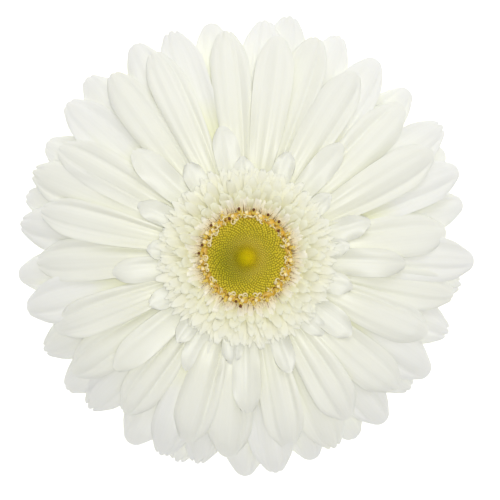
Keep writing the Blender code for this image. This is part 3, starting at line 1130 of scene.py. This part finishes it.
@dataclass(frozen=True)
class OpenFloret:
    """The head of one open floret. Its rim is the top of its tube, with +X outwards and +Z along the tube."""

    index: int
    rim: Matrix

    def lip(self) -> Mesh:
        """Forms the outer lip, which curls back over the rim.

        Returns:
            The mesh.
        """
        size, sweep, open_, turn = spread(Seed.LIP, self.index, 4)
        curl = (0.6 + 0.12 * size) * MM
        swing = math.radians(190.0 + 60.0 * open_)
        width = (0.42 + 0.08 * sweep) * MM
        stand = self.rim @ rotated(50.0 * turn, "Z")

        def place(along: float, across: float) -> Vector:
            """Bends the strap round its curl, to a tip of three teeth.

            Args:
                along: Share of the length, from the root.
                across: Share of the half width, from -1 to 1.

            Returns:
                The point.
            """
            reach = along * (1.0 - 0.07 * (1.0 - math.cos(3.0 * math.pi * across)) * along**4)
            tight = curl * (1.0 - 0.3 * reach)
            edge = 0.2 * MM * across * across * (1.0 - reach)
            out = 0.3 * MM + tight * (1.0 - math.cos(swing * reach)) - edge
            flare = 0.55 + 0.45 * math.sin(math.pi * min(0.75, reach))
            rounding = math.sqrt(1.0 - 0.75 * max(0.0, (reach - 0.7) / 0.3) ** 2)
            return stand @ Vector((out, across * width * flare * rounding, tight * math.sin(swing * reach) + edge))

        return sheet(place, (12, 6), self.index)

    def coil(self, hand: float) -> Mesh:
        """Forms one of the two slim lobes of the inner lip.

        Args:
            hand: -1 or 1, for its side.

        Returns:
            The mesh.
        """
        size, open_, turn, rise = spread(Seed.RIGHT_COIL if hand > 0 else Seed.LEFT_COIL, self.index, 4)
        coil = (0.62 + 0.18 * size) * MM
        swing = math.radians(260.0 + 80.0 * open_)
        stand = self.rim @ rotated(180.0 + hand * (46.0 + 30.0 * turn), "Z") @ rotated(hand * (58.0 + 34.0 * rise), "X")

        def path(along: float) -> Vector:
            """Winds the lobe round its coil."""
            angle, tight = swing * along, coil * (1.0 - 0.3 * along)
            return stand @ Vector((0.2 * MM + tight * (1.0 - math.cos(angle)), 0.0, tight * math.sin(angle)))

        return thread(path, 0.26 * MM, 12, 6, 0.5)

    def cap(self, size: float) -> Mesh:
        """Forms the five closed lobes on top of the tube.

        Args:
            size: Share of the full size.

        Returns:
            The mesh.
        """
        cap = ball(20, 7)
        for vertex in cap.verts:
            groove = 0.5 - 0.5 * math.cos(5.0 * math.atan2(vertex.co.y, vertex.co.x))
            across = (0.42 + 0.18 * size) * MM * (1.0 - 0.3 * groove) * (1.0 - 0.35 * max(0.0, vertex.co.z))
            vertex.co = self.rim @ Vector((vertex.co.x * across, vertex.co.y * across, 0.8 * MM * size * vertex.co.z))
        return cap

    def lobes(self) -> Mesh:
        """Forms the four small lobes that begin to part while the floret is still closed.

        Returns:
            The mesh.
        """
        bm, draws = new_mesh(), spread(Seed.LOBES, self.index, 8)
        for lobe, (open_, turn) in enumerate(zip(draws[::2], draws[1::2])):
            long = (0.75 + 0.25 * open_) * MM
            foot = self.rim @ lifted(0.25 * MM) @ rotated(90.0 * (lobe + 0.35 * turn), "Z")
            place = foot @ rotated(52.0 + 24.0 * open_, "Y") @ lifted(0.2 * MM + 0.5 * long)
            join(bm, cone(6, (0.21 * MM, 0.07 * MM), long, place))
        return bm

    def stigma(self, top: Matrix, lean: float) -> Mesh:
        """Forms one of the two lobes of a stigma that stands on the column's top, with its lean in radians."""
        size = Matrix.Diagonal((0.16 * MM, 0.16 * MM, 0.42 * MM, 1.0))
        return ball(7, 5, top @ Matrix.Rotation(lean, 4, "X") @ lifted(0.35 * MM) @ size)

    def anthers(self, middle: Matrix, length: float) -> Mesh:
        """Forms the column of spent anthers with its knob.

        Args:
            middle: Where its middle stands.
            length: Its length.

        Returns:
            The mesh.
        """
        bm = cone(8, (0.24 * MM, 0.37 * MM), length, middle)
        size = Matrix.Diagonal((0.37 * MM, 0.37 * MM, 0.34 * MM, 1.0))
        join(bm, ball(8, 6, middle @ lifted(0.5 * length) @ size))
        return bm


@dataclass
class OpenFlorets:
    """The ring of open disc florets: golden tubes, curled cream lips, dark anthers and pale bristles."""

    count: int = 60
    radius: float = 10.55 * MM
    ring_top: float = 18.6 * MM
    row_offsets: tuple[float, ...] = (-0.5 * MM, 0.0, 0.5 * MM)
    row_leans: tuple[float, ...] = (2.0, 12.0, 26.0)
    late_headings: Pair = (40.0, 190.0)
    late_shedding: Pair = (0.45, 0.6)
    early_shedding: float = 0.08
    inner_curled_below: float = 0.7
    outer_curled_above: float = 0.85
    ring: Outline = ((9.15, 12.9), (9.15, 18.6), (11.6, 18.6), (11.6, 12.9))
    bristle_count: int = 290
    dry_count: int = 60
    tube_skin: FloretSkin = FloretSkin("floret_tube_gold", "D6AB36", "F0D467")
    lip_skin: FloretSkin = FloretSkin("floret_lip_cream", "EFC684", "F9E6B0")
    anther_skin: FloretSkin = FloretSkin("anther_brown", "34180A", "70401E", glow=0.0, roughness=0.6)
    bristle_skin: FloretSkin = FloretSkin("bristle_straw", "EBCDA2", "FFF9EA", glow=0.0)
    dry_skin: FloretSkin = FloretSkin("bristle_brown", "6E4420", "B98A50", glow=0.0)

    def heading(self, index: int) -> float:
        """Gives the even heading of one floret, before its own draw turns it."""
        return FIRST_HEADING + (index + 0.25) * math.tau / self.count

    def stand(self, index: int) -> tuple[Matrix, float]:
        """Finds where one floret's tube stands.

        Args:
            index: Its place round the ring.

        Returns:
            The placement of its middle, with +X outwards and +Z along the tube, and its height.
        """
        row = index % 3
        turn, size, tilt, shift = spread(Seed.FLORET, index, 4)
        height = (2.6 + 0.5 * size) * MM
        radius = self.radius + self.row_offsets[row] + 0.1 * MM * shift
        place = at_heading(self.heading(index) + math.radians(2.4) * turn, radius, self.ring_top + 0.3 * height)
        return place @ rotated(self.row_leans[row] + 11.0 * tilt, "Y"), height

    def state(self, index: int) -> OpenState:
        """Tells how far one floret has opened. Those at the top and left are the furthest on.

        Args:
            index: Its place round the ring.

        Returns:
            Its state.
        """
        chance = 0.5 + 0.5 * spread(Seed.STATE, index, 1)[0]
        first, last = self.late_headings
        late = first < math.degrees(self.heading(index) % math.tau) < last
        row = index % 3
        if row == 0:
            return OpenState.CURLED if chance < self.inner_curled_below else OpenState.CLOSED
        if chance < (self.late_shedding[row - 1] if late else self.early_shedding):
            return OpenState.SHEDDING
        return OpenState.CURLED if chance > self.outer_curled_above else OpenState.CLOSED

    def build(self) -> None:
        """Builds the tubes, the lips, the stigmas, the anthers and the bristles."""
        tubes, lips, anthers, stigmas = turned(self.ring), new_mesh(), new_mesh(), new_mesh()
        for index in range(self.count):
            stand, height = self.stand(index)
            state = self.state(index)
            tall, side = spread(Seed.COLUMN, index, 2)
            floret = OpenFloret(index, stand @ lifted(0.5 * height))
            join(tubes, cone(10, (0.4 * MM, 0.52 * MM), height, stand))
            join(tubes, floret.cap(1.0 + 0.45 * side if state is OpenState.CLOSED else 0.6))
            # The anthers stand more upright than their tube, and the stigma near their top
            length = (1.6 + 0.4 * tall) * MM
            middle = floret.rim @ rotated(-18.0, "Y") @ lifted(0.5 * length)
            if state is OpenState.CLOSED:
                join(lips, floret.lobes())
            elif state is OpenState.SHEDDING:
                join(anthers, floret.anthers(middle, length))
            else:
                join(lips, floret.lip())
                for hand in (-1.0, 1.0):
                    join(lips, floret.coil(hand))
                    join(stigmas, floret.stigma(middle @ lifted(0.45 * length), hand * 0.55 + 0.2 * side))
        lip_material = self.lip_skin.material()
        for name, bm, material in (
            ("floret_tubes", tubes, self.tube_skin.material()),
            ("floret_lips", lips, lip_material),
            ("floret_anthers", anthers, self.anther_skin.material()),
            ("floret_stigmas", stigmas, lip_material),
        ):
            finished(bm, name, Region.OPEN, material)
        self.build_bristles()

    def build_bristles(self) -> None:
        """Builds the fine bristles that stand out between the open florets and the frill, pale ones and dry ones."""
        places = []
        for index in range(self.bristle_count + self.dry_count):
            turn, shift, size, tilt, side = spread(Seed.BRISTLE, index, 5)
            length = (1.9 + 0.7 * size) * MM
            root = at_heading(index * GOLDEN_ANGLE + 0.05 * turn, (11.5 + 0.4 * shift) * MM, 18.9 * MM)
            lean = rotated(14.0 * side, "Z") @ rotated(58.0 + 16.0 * tilt, "Y")
            places.append(root @ lean @ lifted(0.5 * length) @ Matrix.Diagonal((1.0, 1.0, length / MM, 1.0)))
        for name, skin, group in (
            ("floret_bristles", self.bristle_skin, places[: self.bristle_count]),
            ("floret_bristles_dry", self.dry_skin, places[self.bristle_count :]),
        ):
            # Real bristles are 0.05 mm thick, too fine to show, so they are drawn three times that
            bm = scattered(cone(3, (0.07 * MM, 0.03 * MM), MM), group)
            finished(bm, name, Region.OPEN, skin.material())


@dataclass
class DiscBuds:
    """The closed buds of the disc, in the golden spiral."""

    radius: float = 9.2 * MM
    height: float = 20.0 * MM
    floor: float = 12.9 * MM
    sunk: float = 0.12 * MM
    rows: int = 24
    count: int = 1000
    finish: BudSkin = BudSkin("bud_skin")

    def bed_height(self, radius: float) -> float:
        """Gives the height of the bed under the buds: a low boss, a dip round it and a full rim.

        Args:
            radius: Distance from the axis.

        Returns:
            The height.
        """
        share = radius / self.radius
        boss = 0.7 * MM * math.exp(-((share / 0.25) ** 2))
        field = self.height - 0.5 * MM + boss + 0.6 * MM * math.sin(math.pi * min(1.0, share)) ** 2 * share
        return field - self.sunk

    def build(self) -> None:
        """Builds the field's bed and its buds."""
        radii = [self.radius * (1.0 - step / self.rows) for step in range(self.rows + 1)]
        profile = [(0.0, self.floor), (self.radius, self.floor)]
        profile += [(radius, self.bed_height(radius)) for radius in radii]
        bed = turned([(radius / MM, height / MM) for radius, height in profile])
        places = []
        for index in range(self.count):
            share = ((index + 0.5) / self.count) ** 0.62
            size, tilt, rise, shift, swing = spread(Seed.BUD, index, 5)
            radius = (self.radius + 0.45 * MM) * share + 0.1 * MM * shift * share
            across = (0.19 + 0.22 * share) * MM * (1.0 + 0.12 * size)
            up = (0.26 + 0.3 * share) * MM * (1.0 + 0.15 * rise)
            foot = self.bed_height(min(radius, self.radius))
            place = at_heading(FIRST_HEADING + index * GOLDEN_ANGLE + 0.014 * swing, radius, foot + 0.3 * up)
            lean = rotated(16.0 * share**3 + 8.0 * tilt, "Y")
            places.append(place @ lean @ Matrix.Diagonal((across, across, up, 1.0)))
        bud = ball(6, 6)
        for vertex in bud.verts:
            # Each bud comes to a blunt point
            slim = 1.0 - 0.3 * max(0.0, vertex.co.z)
            vertex.co = Vector((vertex.co.x * slim, vertex.co.y * slim, vertex.co.z))
        join(bed, scattered(bud, places))
        finished(bed, "disc_bud_field", Region.BUDS, self.finish.material())


@dataclass
class Bracts:
    """The green cup of overlapping bracts under the head, with fine hairs."""

    count: int = 29
    extra: int = 26
    width: float = 3.0 * MM
    wall: float = 0.35 * MM
    faces: tuple[int, int] = (12, 6)
    hair_count: int = 700
    outside: Outline = ((5.6, 4.7), (10.2, 7.3), (14.1, 10.5))
    inside: Outline = ((3.6, 3.1), (3.6, 3.9), (5.2, 5.21), (9.6, 7.81), (12.7, 10.18), (13.5, 11.6), (14.1, 11.7))
    finish: LeafSkin = LeafSkin("bract_skin")
    hair: LeafSkin = LeafSkin("hair_pale", "A9B58A", "DDE2C6")

    def cup_height(self, radius: float) -> float:
        """Gives the height of the cup's outer face.

        Args:
            radius: Distance from the axis.

        Returns:
            The height.
        """
        corners = [(out * MM, up * MM) for out, up in self.outside]
        pairs = list(zip(corners, corners[1:]))
        inner, outer = next((pair for pair in pairs if radius <= pair[1][0]), pairs[-1])
        share = (radius - inner[0]) / (outer[0] - inner[0])
        return inner[1] + (outer[1] - inner[1]) * share

    def blade(self, index: int) -> Blade:
        """Forms one bract.

        Args:
            index: Its place in the spiral, from the innermost and longest. The extra ones follow.

        Returns:
            The bract's blade.
        """
        short = index >= self.count
        outer = (index - self.count + 0.5) / self.extra if short else index / (self.count - 1)
        turn, size = spread(Seed.BRACT, index, 2)
        phase, curl = spread(Seed.BRACT_FORM, index, 2)
        root_radius = (9.4 - 4.2 * outer) * MM
        tip_radius = (16.6 - 5.4 * outer + 0.5 * size) * MM - (1.2 * MM if short else 0.0)
        root = (root_radius, self.cup_height(root_radius) + 0.1 * MM)
        tip = (tip_radius, self.cup_height(tip_radius) - (1.2 - 0.3 * outer) * MM)
        return Blade(
            heading=FIRST_HEADING + (index + 0.5) * GOLDEN_ANGLE + math.radians(2.0) * turn,
            root=root,
            tip=tip,
            rise=1.1 * (tip[1] - root[1]) / (tip_radius - root_radius),
            width=self.width,
            root_share=0.7,
            widest=0.3,
            tip_share=0.08,
            cup=0.2 * MM,
            droop=2.0,
            crown=-0.4 * MM,
            folds=(0.0,),
            ripple=0.12 * MM,
            phase=phase,
            curl=0.2 * curl * MM,
        )

    def build(self) -> None:
        """Builds the cup, the bracts and their hairs."""
        skin = self.finish.material()
        finished(turned((*self.inside, *reversed(self.outside))), "bract_cup", Region.BRACTS, skin)
        blades = [self.blade(index) for index in range(self.count + self.extra)]
        finished(sheets(blades, self.faces), "bract_blades", Region.BRACTS, skin, self.wall)
        places = []
        for index in range(self.hair_count):
            along, across, size, tilt = spread(Seed.HAIR, index, 4)
            blade = blades[index % len(blades)]
            root = blade.point(0.5 + 0.45 * along, 0.9 * across)
            length = (0.6 + 0.25 * size) * MM
            way = Vector((math.cos(blade.heading), math.sin(blade.heading), -1.2 + 0.6 * tilt)).normalized()
            turn = way.to_track_quat("Z", "Y").to_matrix().to_4x4()
            stretch = Matrix.Diagonal((1.0, 1.0, length / MM, 1.0))
            places.append(Matrix.Translation(root + way * 0.45 * length) @ turn @ stretch)
        # Real hairs are 0.03 mm thick, too fine to show, so they are drawn coarser
        hairs = scattered(cone(3, (0.05 * MM, 0.02 * MM), MM), places)
        finished(hairs, "bract_hairs", Region.BRACTS, self.hair.material())


@dataclass
class Stem:
    """The ribbed stub of the stem, cut square, and the receptacle that it swells into."""

    radius: float = 3.3 * MM
    height: float = 4.0 * MM
    ribs: int = 12
    rib_depth: float = 0.03
    sides: int = 96
    sharp_angle: float = 50.0
    stub: Outline = ((0.0, 0.0), (1.6, 0.0), (3.15, 0.0), (3.3, 0.12), (3.3, 2.0), (3.3, 4.0))
    receptacle: Outline = ((5.2, 5.6), (9.6, 8.2), (12.6, 10.6), (13.2, 11.7), (12.7, 12.0), (0.0, 12.6))
    finish: LeafSkin = LeafSkin("stem_skin", "5A7A2C", "93AC58")

    def build(self) -> None:
        """Builds the stub with its ribs."""
        bm = turned(self.stub + self.receptacle, self.sides)
        for vertex in bm.verts:
            if vertex.co.z < self.height + 0.1 * MM:
                angle = math.atan2(vertex.co.y, vertex.co.x)
                reach = vertex.co.xy.length / self.radius
                shrink = 1.0 - self.rib_depth * reach * (0.5 - 0.5 * math.cos(self.ribs * angle))
                vertex.co.x *= shrink
                vertex.co.y *= shrink
        piece = finished(bm, "stem_stub", Region.STEM, self.finish.material())
        piece.data.set_sharp_from_angle(angle=math.radians(self.sharp_angle))


@dataclass(frozen=True)
class SoftLight:
    """A square soft light that faces the flower. Its size is its side, and its power is in watts."""

    name: str
    place: tuple[float, float, float]
    size: float
    power: float

    def add(self) -> None:
        """Adds the light to the scene."""
        light = bpy.data.lights.new(self.name, "AREA")
        light.size = self.size
        light.energy = self.power
        lamp = bpy.data.objects.new(self.name, light)
        lamp.location = self.place
        lamp.rotation_euler = (-lamp.location).to_track_quat("-Z", "Y").to_euler()
        bpy.context.scene.collection.objects.link(lamp)


@dataclass
class Studio:
    """The table, the lights and the camera that looks straight down on the flower."""

    lens: float = 135.0
    sensor: float = 36.0
    picture: float = 500.0
    pixel: float = 0.25 * MM
    disc_at: Pair = (246.4, 257.4)
    scale_height: float = 10.0 * MM
    nearest_seen: float = 10.0 * MM
    world_strength: float = 0.19
    softbox: SoftLight = SoftLight("softbox", (0.03, 0.01, 1.05), 0.16, 7.1)
    side_box: SoftLight = SoftLight("side_box", (0.1, 0.62, 0.6), 0.5, 1.45)
    table_reach: float = 3.0
    table: Acrylic = Acrylic("acrylic_table")

    def build(self) -> None:
        """Sets the stage."""
        scene = bpy.context.scene
        bm = new_mesh()
        bmesh.ops.create_grid(bm, x_segments=1, y_segments=1, size=self.table_reach)
        mesh = bpy.data.meshes.new("table")
        bm.to_mesh(mesh)
        bm.free()
        mesh.materials.append(self.table.material())
        table = bpy.data.objects.new("table", mesh)
        scene.collection.objects.link(table)

        world = bpy.data.worlds.new("studio")
        world.use_nodes = True
        sky = world.node_tree.nodes["Background"]
        sky.inputs["Color"].default_value = WHITE
        sky.inputs["Strength"].default_value = self.world_strength
        scene.world = world
        self.softbox.add()
        self.side_box.add()

        camera = bpy.data.objects.new("camera", bpy.data.cameras.new("camera"))
        scene.collection.objects.link(camera)
        camera.data.sensor_width = self.sensor
        camera.data.lens = self.lens
        camera.data.clip_start = self.nearest_seen
        middle = 0.5 * self.picture
        right, up = (middle - self.disc_at[0]) * self.pixel, (self.disc_at[1] - middle) * self.pixel
        distance = self.picture * self.pixel * self.lens / self.sensor
        camera.location = AXIS + Vector((right, up, self.scale_height + distance))
        scene.camera = camera
        scene.view_settings.view_transform = "Standard"


def main() -> None:
    """Builds the flower and its stage in order."""
    logging.basicConfig(level=logging.INFO, format="%(name)s %(message)s")
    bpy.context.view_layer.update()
    Studio().build()
    for part in (RayFlorets(), TransFlorets(), OpenFlorets(), DiscBuds(), Bracts(), Stem()):
        part.build()


if __name__ == "__main__":
    main()
